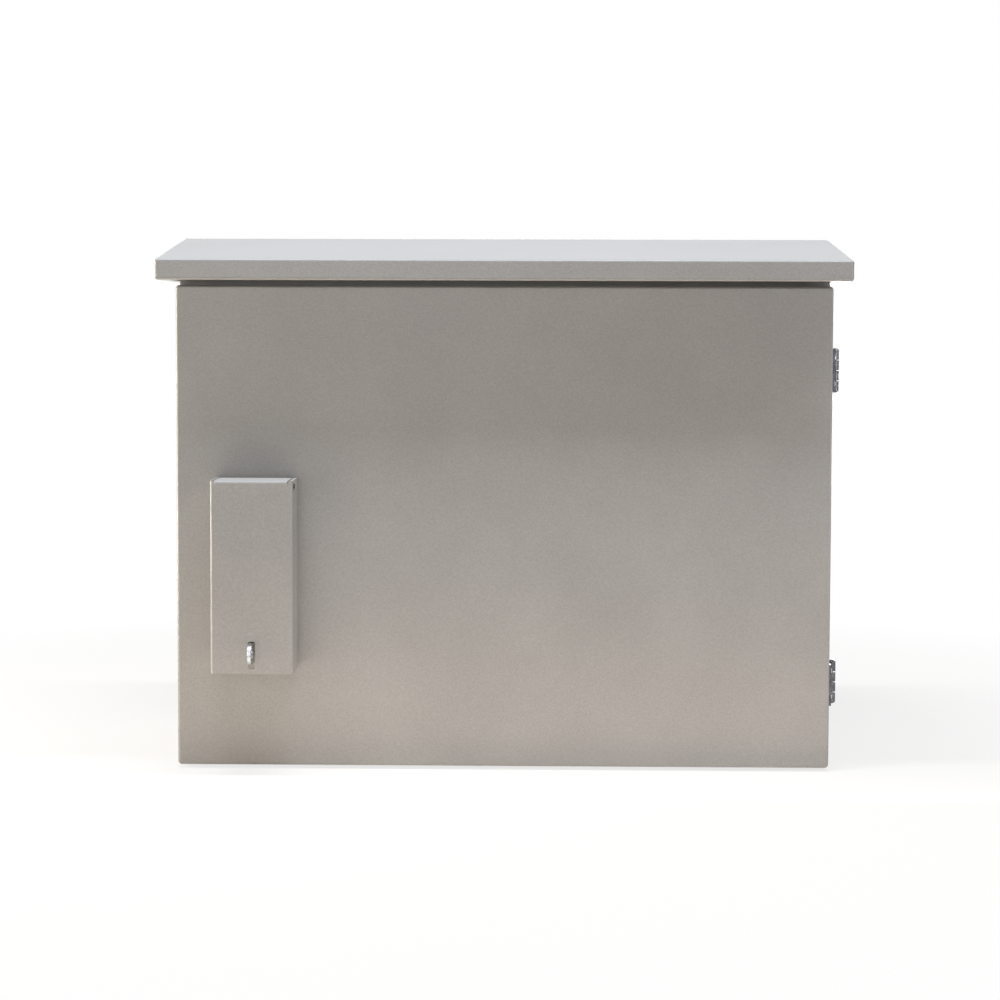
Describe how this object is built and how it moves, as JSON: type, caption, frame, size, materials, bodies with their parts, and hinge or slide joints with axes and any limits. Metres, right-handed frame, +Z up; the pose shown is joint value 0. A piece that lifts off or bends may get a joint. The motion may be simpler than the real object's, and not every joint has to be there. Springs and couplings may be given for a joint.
{
  "type": "roadside utility cabinet",
  "caption": "Outdoor sheet-steel utility cabinet with a gabled rain canopy, a side-hung door and a padlockable lift-up cover over the lock.",
  "frame": {"origin": "centre of the base's underside, below the canopy's ridge", "axes": "+X to the right seen from the front, +Y towards the back, +Z up"},
  "size_m": [0.628, 0.371, 0.493],
  "materials": {
    "powder_coat": "warm grey powder coat, fine texture",
    "galvanised_sheet": "galvanised",
    "zinc_plate": "bright zinc plate",
    "foam": "closed-cell foam"
  },
  "bodies": {
    "cabinet": {"body_wrapper": "powder_coat", "front_frame": "powder_coat", "rear_panel": "powder_coat", "canopy": "powder_coat", "left_bearer": "galvanised_sheet", "right_bearer": "galvanised_sheet", "canopy_bolts": "zinc_plate", "canopy_washers": "zinc_plate", "canopy_nuts": "zinc_plate", "gland_gasket": "foam", "gland_plate": "galvanised_sheet", "gland_screws": "zinc_plate", "plate_studs": "zinc_plate", "plate_standoffs": "zinc_plate", "mounting_plate": "galvanised_sheet", "plate_washers": "zinc_plate", "plate_nuts": "zinc_plate", "earth_stud": "zinc_plate", "earth_washers": "zinc_plate", "earth_nuts": "zinc_plate", "upper_body_leaf": "zinc_plate", "lower_body_leaf": "zinc_plate", "upper_hinge_pin": "zinc_plate", "lower_hinge_pin": "zinc_plate", "body_leaf_screws": "zinc_plate", "body_leaf_nuts": "zinc_plate"},
    "door": {"door_panel": "powder_coat", "door_stiffener": "galvanised_sheet", "door_seal": "foam", "door_earth_stud": "zinc_plate", "door_earth_washers": "zinc_plate", "door_earth_nut": "zinc_plate", "upper_door_leaf": "zinc_plate", "lower_door_leaf": "zinc_plate", "door_leaf_screws": "zinc_plate", "door_leaf_nuts": "zinc_plate", "cover_base": "powder_coat", "cover_rivets": "zinc_plate", "cover_pins": "zinc_plate", "padlock_eye": "zinc_plate", "lock_housing": "zinc_plate", "lock_nut": "zinc_plate"},
    "lock_cover": {"cover_flap": "powder_coat"},
    "lock_rotor": {"lock_handle": "zinc_plate", "lock_spindle": "zinc_plate", "latch_cam": "zinc_plate", "cam_screw": "zinc_plate"}
  },
  "joints": [
    {"name": "door_swing", "type": "hinge", "parent": "cabinet", "child": "door", "pos_m": [0.305, -0.113, 0.2235], "axis": [0, 0, 1], "range_deg": [0, 120]},
    {"name": "cover_lift", "type": "hinge", "parent": "door", "child": "lock_cover", "pos_m": [-0.2255, -0.1715, 0.2628], "axis": [-1, 0, 0], "range_deg": [0, 105]},
    {"name": "lock_turn", "type": "hinge", "parent": "door", "child": "lock_rotor", "pos_m": [-0.2255, -0.1397, 0.1825], "axis": [0, 1, 0], "range_deg": [0, 90]}
  ]
}
